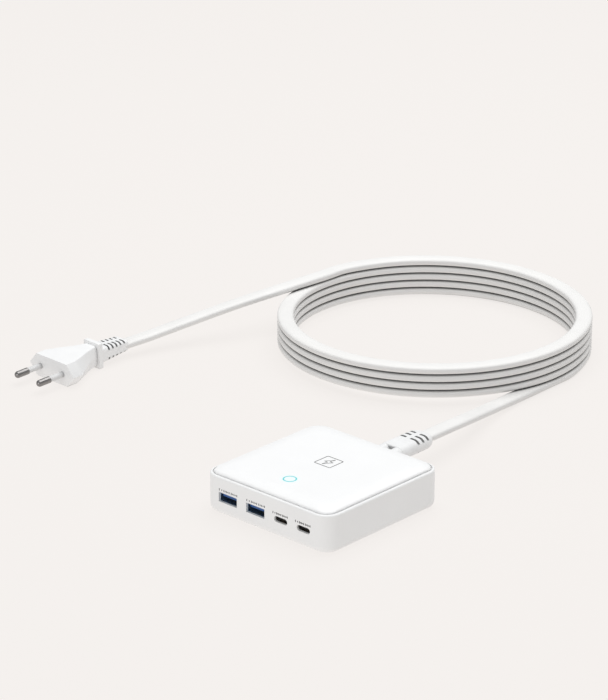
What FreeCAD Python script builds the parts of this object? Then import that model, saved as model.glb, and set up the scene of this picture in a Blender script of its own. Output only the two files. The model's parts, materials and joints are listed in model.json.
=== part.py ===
import FreeCAD, Part
import math
import os

import Sketcher
from FreeCAD import Placement, Rotation, Vector

# A four-port USB charging hub with its mains cord set.
#
# Frame: millimetres, +Z up, origin at the bottom centre of the hub, on the plane its feet stand on.
# The four ports face -Y, the mains inlet faces +Y, and +X is to the right of someone facing the ports.
# The cord set (connector, flat cord, coil, plug) is one body that pulls out of the inlet along +Y.

DIMENSIONS = [
    # hub shell
    ("hub_width", 87.0),
    ("hub_depth", 87.0),
    ("corner_radius", 8.8),
    ("foot_height", 0.5),
    ("seam_height", 21.95),
    ("crown_height", 2.45),
    ("crown_run", 9.0),
    ("rim_width", 2.1),
    ("seam_gap", 0.8),
    ("wall_thickness", 2.6),
    ("floor_thickness", 2.8),
    ("bottom_fillet", 4.0),
    ("rim_fillet", 1.1),
    ("cover_edge", 1.5),
    ("cover_skirt", 1.5),
    ("cover_hollow", 1.95),
    ("rebate_clearance", 0.05),
    # screws, posts and feet, one set at each corner
    ("screw_spacing", 70.8),
    ("post_radius", 2.5),
    ("post_clearance", 0.15),
    ("screw_radius", 1.4),
    ("screw_hole_radius", 1.45),
    ("screw_length", 9.0),
    ("screw_head_radius", 2.6),
    ("screw_head_height", 1.2),
    ("head_recess_radius", 2.8),
    ("foot_radius", 3.6),
    ("foot_recess_radius", 3.7),
    ("foot_recess_depth", 0.5),
    ("label_length", 34.0),
    ("label_width", 22.0),
    ("label_thickness", 0.2),
    ("label_recess", 0.3),
    # status light
    ("light_y", -24.6),
    ("light_radius", 3.7),
    ("light_hole_radius", 3.74),
    ("light_inner_radius", 2.95),
    ("light_cap_radius", 2.92),
    ("light_base", 0.6),
    ("light_depth", 3.0),
    ("light_stem_radius", 1.5),
    ("light_stem_end", 9.6),
    # ports
    ("port_height", 10.95),
    ("port_lip", 1.4),
    ("usb_a_1_x", -25.9),
    ("usb_a_2_x", -6.45),
    ("usb_c_1_x", 11.3),
    ("usb_c_2_x", 26.9),
    ("a_aperture_width", 12.9),
    ("a_aperture_height", 5.3),
    ("a_shell_width", 13.14),
    ("a_shell_height", 5.72),
    ("a_shell_depth", 14.0),
    ("a_shell_pocket_gap", 0.08),
    ("a_tongue_width", 11.1),
    ("a_tongue_height", 1.84),
    ("a_tongue_offset", -0.1),
    ("a_tongue_setback", 1.0),
    ("a_block_depth", 2.4),
    ("a_contact_width", 1.0),
    ("a_contact_length", 8.0),
    ("a_contact_pitch", 2.3),
    ("contact_thickness", 0.2),
    ("shell_wall", 0.3),
    ("c_aperture_width", 9.1),
    ("c_aperture_height", 3.3),
    ("c_shell_width", 8.94),
    ("c_shell_height", 3.16),
    ("c_shell_depth", 7.3),
    ("c_shell_setback", 0.9),
    ("c_tongue_width", 6.69),
    ("c_tongue_height", 0.7),
    ("c_tongue_setback", 1.0),
    ("c_block_depth", 2.2),
    ("c_contact_width", 0.25),
    ("c_contact_length", 3.2),
    ("c_contact_pitch", 0.5),
    ("c_contact_thickness", 0.08),
    # mains inlet and its mating connector (IEC 60320 C8 and C7)
    ("inlet_height", 14.3),
    ("inlet_block_width", 20.4),
    ("inlet_block_height", 10.8),
    ("inlet_block_depth", 12.5),
    ("inlet_cavity_depth", 10.0),
    ("inlet_gap", 0.1),
    ("lobe_spacing", 8.6),
    ("cavity_lobe_radius", 4.1),
    ("cavity_waist_height", 6.8),
    ("nose_lobe_radius", 3.75),
    ("nose_waist_height", 3.4),
    ("nose_insertion", 9.2),
    ("nose_end", 53.3),
    ("inlet_pin_radius", 1.2),
    ("inlet_pin_end_gap", 1.5),
    ("inlet_pin_tail", 4.0),
    ("socket_outer_radius", 1.55),
    ("socket_inner_radius", 1.26),
    ("socket_hole_radius", 1.6),
    ("socket_setback", 0.7),
    ("socket_length", 11.0),
    ("connector_width", 16.3),
    ("connector_height", 8.1),
    ("connector_end", 60.2),
    ("connector_shoulder", 0.9),
    ("relief_slot_first", 67.1),
    ("relief_slot_pitch", 3.85),
    ("relief_slot_width", 1.6),
    ("relief_slot_gap", 3.0),
    ("relief_slot_floor", 2.0),
    ("slot_tool_length", 10.0),
    ("slot_tool_depth", 8.0),
    # flat cord
    ("cord_width", 9.7),
    ("cord_thickness", 4.67),
    ("cord_corner", 2.1),
    ("coil_x", -105.78),
    ("coil_y", 211.07),
    ("coil_radius", 86.73),
    ("coil_layers", 5),
    # flat two-pin mains plug (CEE 7/16), modelled along its own +Y with its face at y = 0
    ("plug_x", -229.9),
    ("plug_y", 22.7),
    ("plug_height", 6.9),
    ("plug_yaw", -1.5),
    ("plug_pitch", 1.65),
    ("plug_flat_width", 25.6),
    ("plug_full_width", 37.8),
    ("plug_face_height", 13.75),
    ("plug_prism", 7.2),
    ("flange_start", 30.6),
    ("flange_thickness", 3.0),
    ("flange_width", 13.0),
    ("flange_height", 15.5),
    ("flange_corner", 0.9),
    ("pin_spacing", 18.6),
    ("pin_length", 19.0),
    ("pin_radius", 2.0),
    ("pin_tip_length", 9.0),
    ("pin_core_radius", 1.4),
    ("pin_core_depth", 8.0),
    ("sleeve_radius", 1.7),
    ("sleeve_depth", 2.0),
    ("plug_relief_width", 12.5),
    ("plug_relief_height", 9.8),
    ("plug_relief_length", 20.1),
    ("plug_relief_end_width", 11.6),
    ("plug_relief_end_height", 6.7),
    ("plug_relief_corner", 2.2),
    ("plug_slot_first", 38.7),
    ("plug_slot_pitch", 3.1),
    ("plug_slot_width", 1.3),
    ("plug_slot_gap", 2.6),
    ("plug_slot_floor", 2.2),
    ("plug_relief_drop", 0.45),
    # circuit board
    ("board_size", 80.4),
    ("board_corner", 5.0),
    ("board_thickness", 1.6),
    ("board_hole_radius", 2.9),
    ("core_length", 24.0),
    ("core_width", 12.0),
    ("core_height", 13.0),
    ("core_x", 3.0),
    ("core_y", 4.0),
    ("window_length", 6.0),
    ("window_height", 8.0),
    ("window_offset", 6.2),
    ("window_bottom", 2.5),
    ("winding_size", 18.0),
    ("winding_height", 7.6),
    ("winding_bottom", 2.7),
    ("winding_leg", 6.6),
    ("choke_radius", 5.2),
    ("choke_wire_radius", 2.4),
    ("choke_x", -18.5),
    ("choke_y", 26.0),
    ("spreader_length", 60.0),
    ("spreader_width", 44.0),
    ("spreader_thickness", 0.8),
    ("spreader_y", 6.0),
    ("spreader_gap", 0.2),
]

# Parts on the board: size along X, Y and Z, then the centre's X and Y. They stand on its upper face.
BOARD_BLOCKS = {
    "status_led": (3.2, 2.8, 1.0, 0.0, -24.6),
    "controller_board": (26.0, 1.2, 11.0, -22.0, -19.0),
    "controller_chip": (6.0, 1.0, 6.0, -22.0, -20.1),
    "bridge_rectifier": (9.0, 7.0, 2.6, -32.0, 26.0),
    "x_capacitor": (13.0, 6.0, 11.0, 27.0, 26.0),
    "fuse": (8.4, 4.2, 8.0, 15.0, 21.0),
}

# Upright electrolytic capacitors: radius, length, then the centre's X and Y.
OUTPUT_CAPACITORS = {
    "output_capacitor_1": (4.0, 11.5, 13.0, -19.0),
    "output_capacitor_2": (4.0, 11.5, 22.5, -19.0),
    "output_capacitor_3": (4.0, 11.5, 32.0, -19.0),
}

# Lying electrolytic capacitors along Y: radius, length, then X and Y of the front end's centre.
BULK_CAPACITORS = {
    "bulk_capacitor_1": (5.0, 25.0, -32.0, -8.0),
    "bulk_capacitor_2": (5.0, 25.0, -21.4, -8.0),
}

# The plug body behind its face, section by section: distance back from the face, width of the
# flat, full width and height.
PLUG_SECTIONS = [
    (14.0, 20.4, 27.6, 13.3),
    (21.5, 13.4, 16.8, 12.7),
    (30.6, 8.4, 9.4, 12.2),
]

# The connector's strain relief, section by section: Y, width and height of the obround.
RELIEF_SECTIONS = [
    (74.5, 15.9, 8.0),
    (76.5, 15.4, 7.8),
    (78.5, 13.9, 7.2),
    (79.8, 11.8, 6.4),
    (80.3, 10.4, 5.5),
]

# Control points of the cord where it isn't coiled. The first run leaves the connector level and
# comes down to the floor; the second leaves the top of the coil and comes down to the plug.
HUB_LEAD = [
    (0.0, 76.5, 14.3),
    (-0.2, 91.0, 14.25),
    (-1.85, 110.18, 13.05),
    (-7.0, 129.34, 9.54),
    (-13.49, 148.94, 5.3),
    (-17.46, 169.04, 2.79),
    (-18.42, 189.66, 2.37),
    (-19.05, 211.07, 2.36),
]
PLUG_LEAD = [
    (-192.51, 211.07, 22.6),
    (-192.86, 192.75, 23.2),
    (-193.86, 174.71, 23.3),
    (-197.97, 157.17, 22.0),
    (-204.77, 140.12, 18.9),
    (-212.37, 123.07, 14.9),
    (-218.76, 105.52, 11.59),
    (-224.0, 87.97, 8.7),
    (-228.6, 71.5, 7.2),
]

doc = FreeCAD.newDocument("usb_hub")
sizes = doc.addObject("Spreadsheet::Sheet", "Sizes")
cell_count = 0


def add_size(alias, value):
    """One named value in the sheet."""
    global cell_count
    cell_count += 1
    sizes.set(f"A{cell_count}", alias)
    sizes.set(f"B{cell_count}", str(value))
    sizes.setAlias(f"B{cell_count}", alias)


for name, number in DIMENSIONS:
    add_size(name, number)
for label, values in BOARD_BLOCKS.items():
    for suffix, number in zip(("length", "width", "height", "x", "y"), values):
        add_size(f"{label}_{suffix}", number)
for label, values in {**OUTPUT_CAPACITORS, **BULK_CAPACITORS}.items():
    for suffix, number in zip(("radius", "length", "x", "y"), values):
        add_size(f"{label}_{suffix}", number)
for order, values in enumerate(PLUG_SECTIONS, start=1):
    for suffix, number in zip(("back", "flat", "full", "height"), values):
        add_size(f"plug_section_{order}_{suffix}", number)
for order, values in enumerate(RELIEF_SECTIONS, start=1):
    for suffix, number in zip(("y", "width", "height"), values):
        add_size(f"relief_section_{order}_{suffix}", number)
doc.recompute()


def number_of(expression):
    """The number that an expression on the sheet comes to."""
    value = sizes.evalExpression(expression)
    return float(getattr(value, "Value", value))


def bind(item, **expressions):
    """Binds properties to expressions; a double underscore stands for a dot."""
    for path, expression in expressions.items():
        item.setExpression(path.replace("__", "."), expression)


nodes = {}


def keep(piece):
    """Counts the piece as a node of the finished part."""
    nodes[piece.Label] = piece
    return piece


# --- Part Design helpers ---


def new_body(label, placement=None):
    piece = doc.addObject("PartDesign::Body", label)
    piece.Label = label
    if placement is not None:
        piece.Placement = placement
    return keep(piece)


def new_sketch(body, plane, name, x="0", y="0", lift="0"):
    """A sketch on one of the body's origin planes, moved in it by x and y and out of it by lift."""
    sketch = body.newObject("Sketcher::SketchObject", f"{body.Label}_{name}")
    origin_plane = next(f for f in body.Origin.OriginFeatures if f.Role == plane)
    sketch.AttachmentSupport = [(origin_plane, "")]
    sketch.MapMode = "FlatFace"
    bind(sketch, AttachmentOffset__Base__x=x, AttachmentOffset__Base__y=y, AttachmentOffset__Base__z=lift)
    return sketch


def set_datum(sketch, constraint, name, expression):
    """Adds a dimension, names it and binds it to the sheet."""
    place = sketch.addConstraint(constraint)
    sketch.renameConstraint(place, name)
    sketch.setExpression(f"Constraints.{name}", expression)


def draw_rectangle(sketch, width, height):
    """A rectangle centred on the sketch's origin."""
    a, b = number_of(width) / 2, number_of(height) / 2
    corners = [Vector(-a, -b, 0), Vector(a, -b, 0), Vector(a, b, 0), Vector(-a, b, 0)]
    first = sketch.GeometryCount
    for k in range(4):
        sketch.addGeometry(Part.LineSegment(corners[k], corners[(k + 1) % 4]), False)
    for k in range(4):
        sketch.addConstraint(Sketcher.Constraint("Coincident", first + k, 2, first + (k + 1) % 4, 1))
    for k, direction in enumerate(("Horizontal", "Vertical", "Horizontal", "Vertical")):
        sketch.addConstraint(Sketcher.Constraint(direction, first + k))
    sketch.addConstraint(Sketcher.Constraint("Symmetric", first, 1, first + 2, 1, -1, 1))
    side = first + 1
    set_datum(sketch, Sketcher.Constraint("DistanceX", first, 1, first, 2, 2 * a), "width", width)
    set_datum(sketch, Sketcher.Constraint("DistanceY", side, 1, side, 2, 2 * b), "height", height)


def draw_rounded(sketch, width, height, radius):
    """A rectangle with rounded corners, centred on the sketch's origin."""
    a, b, r = number_of(width) / 2, number_of(height) / 2, number_of(radius)
    centres = [Vector(sx * (a - r), sy * (b - r), 0) for sx, sy in ((1, -1), (1, 1), (-1, 1), (-1, -1))]
    lines = [
        (Vector(r - a, -b, 0), Vector(a - r, -b, 0)),
        (Vector(a, r - b, 0), Vector(a, b - r, 0)),
        (Vector(a - r, b, 0), Vector(r - a, b, 0)),
        (Vector(-a, b - r, 0), Vector(-a, r - b, 0)),
    ]
    up = Vector(0, 0, 1)
    for k in range(4):
        sketch.addGeometry(Part.LineSegment(*lines[k]), False)
        start = (k - 1) * math.pi / 2
        corner = Part.ArcOfCircle(Part.Circle(centres[k], up, r), start, start + math.pi / 2)
        sketch.addGeometry(corner, False)
    for k in range(8):
        sketch.addConstraint(Sketcher.Constraint("Tangent", k, 2, (k + 1) % 8, 1))
    for k, direction in ((0, "Horizontal"), (2, "Vertical"), (4, "Horizontal"), (6, "Vertical")):
        sketch.addConstraint(Sketcher.Constraint(direction, k))
    for k in (3, 5):
        sketch.addConstraint(Sketcher.Constraint("Equal", 1, k))
    sketch.addConstraint(Sketcher.Constraint("Symmetric", 1, 3, 5, 3, -1, 1))
    set_datum(sketch, Sketcher.Constraint("Radius", 1, r), "radius", radius)
    set_datum(sketch, Sketcher.Constraint("DistanceX", 6, 1, 2, 1, 2 * a), "width", width)
    set_datum(sketch, Sketcher.Constraint("DistanceY", 0, 1, 4, 1, 2 * b), "height", height)


def draw_obround(sketch, width, height):
    """Two straight sides joined by half circles, centred on the sketch's origin, long way along x."""
    r = number_of(height) / 2
    a = number_of(width) / 2 - r
    for side in (1, -1):
        line = Part.LineSegment(Vector(-side * a, -side * r, 0), Vector(side * a, -side * r, 0))
        start = -side * math.pi / 2
        end_circle = Part.Circle(Vector(side * a, 0, 0), Vector(0, 0, 1), r)
        sketch.addGeometry(line, False)
        sketch.addGeometry(Part.ArcOfCircle(end_circle, start, start + math.pi), False)
    for k in range(4):
        sketch.addConstraint(Sketcher.Constraint("Tangent", k, 2, (k + 1) % 4, 1))
    sketch.addConstraint(Sketcher.Constraint("Horizontal", 0))
    sketch.addConstraint(Sketcher.Constraint("Symmetric", 1, 3, 3, 3, -1, 1))
    set_datum(sketch, Sketcher.Constraint("DistanceY", 0, 1, 2, 2, 2 * r), "height", height)
    set_datum(sketch, Sketcher.Constraint("DistanceX", 0, 1, 0, 2, 2 * a), "straight", f"{width} - {height}")


def draw_circle(sketch, radius, x=None, y=None):
    """A circle at x, y of the sketch, or on its origin."""
    centre = Vector(number_of(x) if x else 0, number_of(y) if y else 0, 0)
    place = sketch.addGeometry(Part.Circle(centre, Vector(0, 0, 1), number_of(radius)), False)
    set_datum(sketch, Sketcher.Constraint("Radius", place, number_of(radius)), f"radius{place}", radius)
    if not x and not y:
        sketch.addConstraint(Sketcher.Constraint("Coincident", place, 3, -1, 1))
        return
    for word, expression, value in (("DistanceX", x, centre.x), ("DistanceY", y, centre.y)):
        if expression:
            constraint = Sketcher.Constraint(word, -1, 1, place, 3, value)
            set_datum(sketch, constraint, f"{word}{place}", expression)
        else:
            axis = -1 if word == "DistanceY" else -2
            sketch.addConstraint(Sketcher.Constraint("PointOnObject", place, 3, axis))


def draw_hexagon(sketch, flat, full, height):
    """A flat-topped hexagon with pointed sides, centred on the sketch's origin."""
    a, w, b = number_of(flat) / 2, number_of(full) / 2, number_of(height) / 2
    corners = [(-a, -b), (a, -b), (w, 0), (a, b), (-a, b), (-w, 0)]
    points = [Vector(x, y, 0) for x, y in corners]
    for k in range(6):
        sketch.addGeometry(Part.LineSegment(points[k], points[(k + 1) % 6]), False)
    for k in range(6):
        sketch.addConstraint(Sketcher.Constraint("Coincident", k, 2, (k + 1) % 6, 1))
    sketch.addConstraint(Sketcher.Constraint("Horizontal", 0))
    sketch.addConstraint(Sketcher.Constraint("Horizontal", 3))
    sketch.addConstraint(Sketcher.Constraint("Symmetric", 0, 1, 3, 1, -1, 1))
    sketch.addConstraint(Sketcher.Constraint("PointOnObject", 2, 1, -1))
    sketch.addConstraint(Sketcher.Constraint("Symmetric", 2, 1, 5, 1, -1, 1))
    set_datum(sketch, Sketcher.Constraint("DistanceX", 0, 1, 0, 2, 2 * a), "flat", flat)
    set_datum(sketch, Sketcher.Constraint("DistanceX", 5, 1, 2, 1, 2 * w), "full", full)
    set_datum(sketch, Sketcher.Constraint("DistanceY", 0, 1, 3, 2, 2 * b), "height", height)


def pad(body, sketch, length, reverse=False):
    """Adds the sketch pulled out by length; the solid has to grow."""
    doc.recompute()
    before = body.Shape.Volume if body.Tip else 0.0
    feature = body.newObject("PartDesign::Pad", sketch.Name + "_pad")
    feature.Profile = sketch
    feature.Reversed = reverse
    bind(feature, Length=length)
    doc.recompute()
    if body.Shape.Volume <= before:
        raise ValueError(f"{feature.Name} adds nothing")
    return feature


def pocket(body, sketch, length, reverse=False):
    """Cuts the sketch pushed in by length; the solid has to shrink."""
    doc.recompute()
    before = body.Shape.Volume
    feature = body.newObject("PartDesign::Pocket", sketch.Name + "_pocket")
    feature.Profile = sketch
    feature.Reversed = reverse
    bind(feature, Length=length)
    doc.recompute()
    if body.Shape.Volume >= before:
        raise ValueError(f"{feature.Name} cuts nothing")
    return feature


def loft(body, sketches, ruled):
    feature = body.newObject("PartDesign::AdditiveLoft", sketches[0].Name + "_loft")
    feature.Profile = sketches[0]
    feature.Sections = sketches[1:]
    feature.Ruled = ruled
    doc.recompute()
    return feature


def fillet(body, base, radius, chosen):
    """Rounds the edges of base that chosen() picks."""
    names = [f"Edge{k + 1}" for k, edge in enumerate(base.Shape.Edges) if chosen(edge)]
    feature = body.newObject("PartDesign::Fillet", base.Name + "_fillet")
    feature.Base = (base, names)
    bind(feature, Radius=radius)
    doc.recompute()
    return feature


def flat_at(axis, value):
    """Picks edges that lie whole at one value along an axis."""
    return lambda edge: all(abs(getattr(v.Point, axis) - value) < 1e-4 for v in edge.Vertexes)


# --- Part workbench helpers ---


def new_box(label, length, width, height, x, y, z):
    """A block given by its sizes and the centre of its bottom face."""
    item = doc.addObject("Part::Box", label)
    item.Label = label
    bind(item, Length=length, Width=width, Height=height)
    bind(item, Placement__Base__x=f"{x} - ({length}) / 2", Placement__Base__y=f"{y} - ({width}) / 2")
    bind(item, Placement__Base__z=z)
    return item


def new_cylinder(label, radius, length, x, y, z, along_y=False):
    """A cylinder from x, y, z along +Z, or along +Y."""
    item = doc.addObject("Part::Cylinder", label)
    item.Label = label
    if along_y:
        item.Placement = Placement(Vector(), Rotation(Vector(1, 0, 0), -90))
    bind(item, Radius=radius, Height=length)
    bind(item, Placement__Base__x=x, Placement__Base__y=y, Placement__Base__z=z)
    return item


def new_cut(label, base, tool):
    item = doc.addObject("Part::Cut", label)
    item.Label = label
    item.Base = base
    item.Tool = tool
    return item


def new_fuse(label, parts):
    item = doc.addObject("Part::MultiFuse", label)
    item.Label = label
    item.Shapes = parts
    return item


def new_group(label, parts):
    """Separate solids that are one node."""
    item = doc.addObject("Part::Compound", label)
    item.Label = label
    item.Links = parts
    return keep(item)


CORNERS = [(sx, sy) for sx in ("-", "") for sy in ("-", "")]
HALF_SCREWS = "Sizes.screw_spacing / 2"
BOARD_TOP = "(Sizes.port_height - Sizes.a_shell_height / 2)"
FLOOR_TOP = "(Sizes.foot_height + Sizes.floor_thickness)"
ROOF_UNDERSIDE = "(Sizes.seam_height - Sizes.cover_edge + Sizes.cover_hollow)"
TOP = "(Sizes.seam_height + Sizes.crown_height)"
FRONT = "(Sizes.hub_depth / 2)"


def make_base_housing():
    """The tray: floor, walls with a rounded rim, port and inlet openings, screw holes."""
    body = new_body("base_housing")
    outline = new_sketch(body, "XY_Plane", "outline", lift="Sizes.foot_height")
    draw_rounded(outline, "Sizes.hub_width", "Sizes.hub_depth", "Sizes.corner_radius")
    block = pad(body, outline, "Sizes.seam_height - Sizes.foot_height")
    bottom = number_of("Sizes.foot_height")
    rounded = fillet(body, block, "Sizes.bottom_fillet", flat_at("z", bottom))
    fillet(body, rounded, "Sizes.rim_fillet", flat_at("z", number_of("Sizes.seam_height")))

    cavity = new_sketch(body, "XY_Plane", "cavity", lift="Sizes.seam_height")
    inner = "2 * Sizes.wall_thickness"
    draw_rounded(
        cavity,
        f"Sizes.hub_width - {inner}",
        f"Sizes.hub_depth - {inner}",
        "Sizes.corner_radius - Sizes.wall_thickness",
    )
    pocket(body, cavity, f"Sizes.seam_height - {FLOOR_TOP}")

    rebate = new_sketch(body, "XY_Plane", "rebate", lift="Sizes.seam_height")
    rim = "(Sizes.rim_width - Sizes.seam_gap)"
    sides = (f"Sizes.hub_width - 2 * {rim}", f"Sizes.hub_depth - 2 * {rim}")
    draw_rounded(rebate, *sides, f"Sizes.corner_radius - {rim}")
    pocket(body, rebate, "Sizes.cover_edge + Sizes.rebate_clearance")

    for port in ("usb_a_1", "usb_a_2"):
        place = {"x": f"Sizes.{port}_x", "y": "Sizes.port_height"}
        aperture = new_sketch(body, "XZ_Plane", port, lift=f"{FRONT} + 1", **place)
        draw_rectangle(aperture, "Sizes.a_aperture_width", "Sizes.a_aperture_height")
        pocket(body, aperture, "Sizes.wall_thickness + 2")
        inside = f"{FRONT} - Sizes.wall_thickness - 1"
        seat = new_sketch(body, "XZ_Plane", port + "_seat", lift=inside, **place)
        gap = "2 * Sizes.a_shell_pocket_gap"
        draw_rectangle(seat, f"Sizes.a_shell_width + {gap}", f"Sizes.a_shell_height + {gap}")
        pocket(body, seat, "Sizes.wall_thickness + 1 - Sizes.port_lip", reverse=True)
    for port in ("usb_c_1", "usb_c_2"):
        aperture = new_sketch(
            body, "XZ_Plane", port, x=f"Sizes.{port}_x", y="Sizes.port_height", lift=f"{FRONT} + 1"
        )
        draw_obround(aperture, "Sizes.c_aperture_width", "Sizes.c_aperture_height")
        pocket(body, aperture, "Sizes.wall_thickness + 2")

    opening = new_sketch(body, "XZ_Plane", "inlet", y="Sizes.inlet_height", lift=f"-{FRONT} - 1")
    gap = "2 * Sizes.inlet_gap"
    draw_rectangle(opening, f"Sizes.inlet_block_width + {gap}", f"Sizes.inlet_block_height + {gap}")
    pocket(body, opening, "Sizes.wall_thickness + 2", reverse=True)

    depths = {
        "foot": ("Sizes.foot_recess_radius", "Sizes.foot_recess_depth"),
        "head": ("Sizes.head_recess_radius", "Sizes.foot_recess_depth + Sizes.screw_head_height"),
        "screw": ("Sizes.screw_hole_radius", "Sizes.floor_thickness + 1"),
    }
    for word, (radius, depth) in depths.items():
        holes = new_sketch(body, "XY_Plane", word, lift="Sizes.foot_height")
        for sx, sy in CORNERS:
            draw_circle(holes, radius, f"{sx}{HALF_SCREWS}", f"{sy}{HALF_SCREWS}")
        pocket(body, holes, depth, reverse=True)
    label_recess = new_sketch(body, "XY_Plane", "label", lift="Sizes.foot_height")
    draw_rectangle(label_recess, "Sizes.label_length + 0.2", "Sizes.label_width + 0.2")
    pocket(body, label_recess, "Sizes.label_recess", reverse=True)


def make_top_cover():
    """The pillow-shaped lid with its hollow underside, screw posts and the hole for the light."""
    body = new_body("top_cover")
    width = "(Sizes.hub_width - 2 * Sizes.rim_width)"
    depth = "(Sizes.hub_depth - 2 * Sizes.rim_width)"
    corner = "(Sizes.corner_radius - Sizes.rim_width)"
    edge = new_sketch(body, "XY_Plane", "edge", lift="Sizes.seam_height - Sizes.cover_edge")
    draw_rounded(edge, width, depth, corner)
    pad(body, edge, "Sizes.cover_edge")

    sections = []
    steps = 6
    for k in range(steps + 1):
        angle = 90 * k / steps
        inset = f"Sizes.crown_run * (1 - cos({angle} deg))"
        lift = f"Sizes.seam_height + Sizes.crown_height * sin({angle} deg)"
        section = new_sketch(body, "XY_Plane", f"crown_{k}", lift=lift)
        round_corner = f"{corner} + {inset} * 0.35"
        draw_rounded(section, f"{width} - 2 * {inset}", f"{depth} - 2 * {inset}", round_corner)
        sections.append(section)
    loft(body, sections, ruled=False)

    hollow = new_sketch(body, "XY_Plane", "hollow", lift="Sizes.seam_height - Sizes.cover_edge")
    skirt = "Sizes.cover_skirt"
    draw_rounded(hollow, f"{width} - 2 * {skirt}", f"{depth} - 2 * {skirt}", f"{corner} - {skirt}")
    pocket(body, hollow, "Sizes.cover_hollow", reverse=True)

    posts = new_sketch(body, "XY_Plane", "posts", lift=ROOF_UNDERSIDE)
    for sx, sy in CORNERS:
        draw_circle(posts, "Sizes.post_radius", f"{sx}{HALF_SCREWS}", f"{sy}{HALF_SCREWS}")
    pad(body, posts, f"{ROOF_UNDERSIDE} - {FLOOR_TOP} - Sizes.post_clearance", reverse=True)
    holes = new_sketch(body, "XY_Plane", "post_holes", lift=f"{FLOOR_TOP} + Sizes.post_clearance")
    for sx, sy in CORNERS:
        draw_circle(holes, "Sizes.screw_hole_radius", f"{sx}{HALF_SCREWS}", f"{sy}{HALF_SCREWS}")
    pocket(body, holes, "Sizes.screw_length", reverse=True)
    light = new_sketch(body, "XY_Plane", "light", y="Sizes.light_y", lift=f"{TOP} + 1")
    draw_circle(light, "Sizes.light_hole_radius")
    pocket(body, light, f"{TOP} + 2 - {ROOF_UNDERSIDE}")


def make_status_light():
    """The light pipe that ends as a ring in the lid, and the white cap inside the ring."""
    start = f"{TOP} - Sizes.light_depth"
    y = "Sizes.light_y"
    well_bottom = f"{start} + Sizes.light_base"
    cup = new_cylinder("light_cup", "Sizes.light_radius", "Sizes.light_depth", "0", y, start)
    well = new_cylinder("light_well", "Sizes.light_inner_radius", "Sizes.light_depth", "0", y, well_bottom)
    ring = new_cut("light_ring_top", cup, well)
    stem_end = "Sizes.light_stem_end"
    stem = new_cylinder("light_stem", "Sizes.light_stem_radius", f"{start} - {stem_end}", "0", y, stem_end)
    keep(new_fuse("light_ring", [ring, stem]))
    cap_height = "Sizes.light_depth - Sizes.light_base"
    keep(new_cylinder("light_ring_cap", "Sizes.light_cap_radius", cap_height, "0", y, well_bottom))


def make_usb_a(number):
    """One USB-A receptacle: steel shell, plastic tongue with its back block, four contacts."""
    x = f"Sizes.usb_a_{number}_x"
    front = f"(Sizes.port_lip - {FRONT})"
    shell_bottom = "(Sizes.port_height - Sizes.a_shell_height / 2)"
    outer = new_box(
        f"usb_a_outer_{number}",
        "Sizes.a_shell_width",
        "Sizes.a_shell_depth",
        "Sizes.a_shell_height",
        x,
        f"({front} + Sizes.a_shell_depth / 2)",
        shell_bottom,
    )
    wall = "Sizes.shell_wall"
    inner = new_box(
        f"usb_a_inner_{number}",
        f"Sizes.a_shell_width - 2 * {wall}",
        "Sizes.a_shell_depth",
        f"Sizes.a_shell_height - 2 * {wall}",
        x,
        f"({front} + Sizes.a_shell_depth / 2 - {wall})",
        f"{shell_bottom} + {wall}",
    )
    keep(new_cut(f"usb_a_shell_{number}", outer, inner))

    block = new_box(
        f"usb_a_block_{number}",
        f"Sizes.a_shell_width - 2 * {wall}",
        "Sizes.a_block_depth",
        f"Sizes.a_shell_height - 2 * {wall}",
        x,
        f"({front} + Sizes.a_shell_depth - {wall} - Sizes.a_block_depth / 2)",
        f"{shell_bottom} + {wall}",
    )
    tongue_length = f"(Sizes.a_shell_depth - {wall} - Sizes.a_tongue_setback)"
    tongue_bottom = "(Sizes.port_height + Sizes.a_tongue_offset)"
    tongue = new_box(
        f"usb_a_blade_{number}",
        "Sizes.a_tongue_width",
        tongue_length,
        "Sizes.a_tongue_height",
        x,
        f"({front} + Sizes.a_tongue_setback + {tongue_length} / 2)",
        tongue_bottom,
    )
    keep(new_fuse(f"usb_a_tongue_{number}", [block, tongue]))
    contacts = [
        new_box(
            f"usb_a_contact_{number}_{k + 1}",
            "Sizes.a_contact_width",
            "Sizes.a_contact_length",
            "Sizes.contact_thickness",
            f"({x} + {k - 1.5} * Sizes.a_contact_pitch)",
            f"({front} + Sizes.a_tongue_setback + 0.8 + Sizes.a_contact_length / 2)",
            f"{tongue_bottom} - Sizes.contact_thickness",
        )
        for k in range(4)
    ]
    new_group(f"usb_a_contacts_{number}", contacts)


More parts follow.
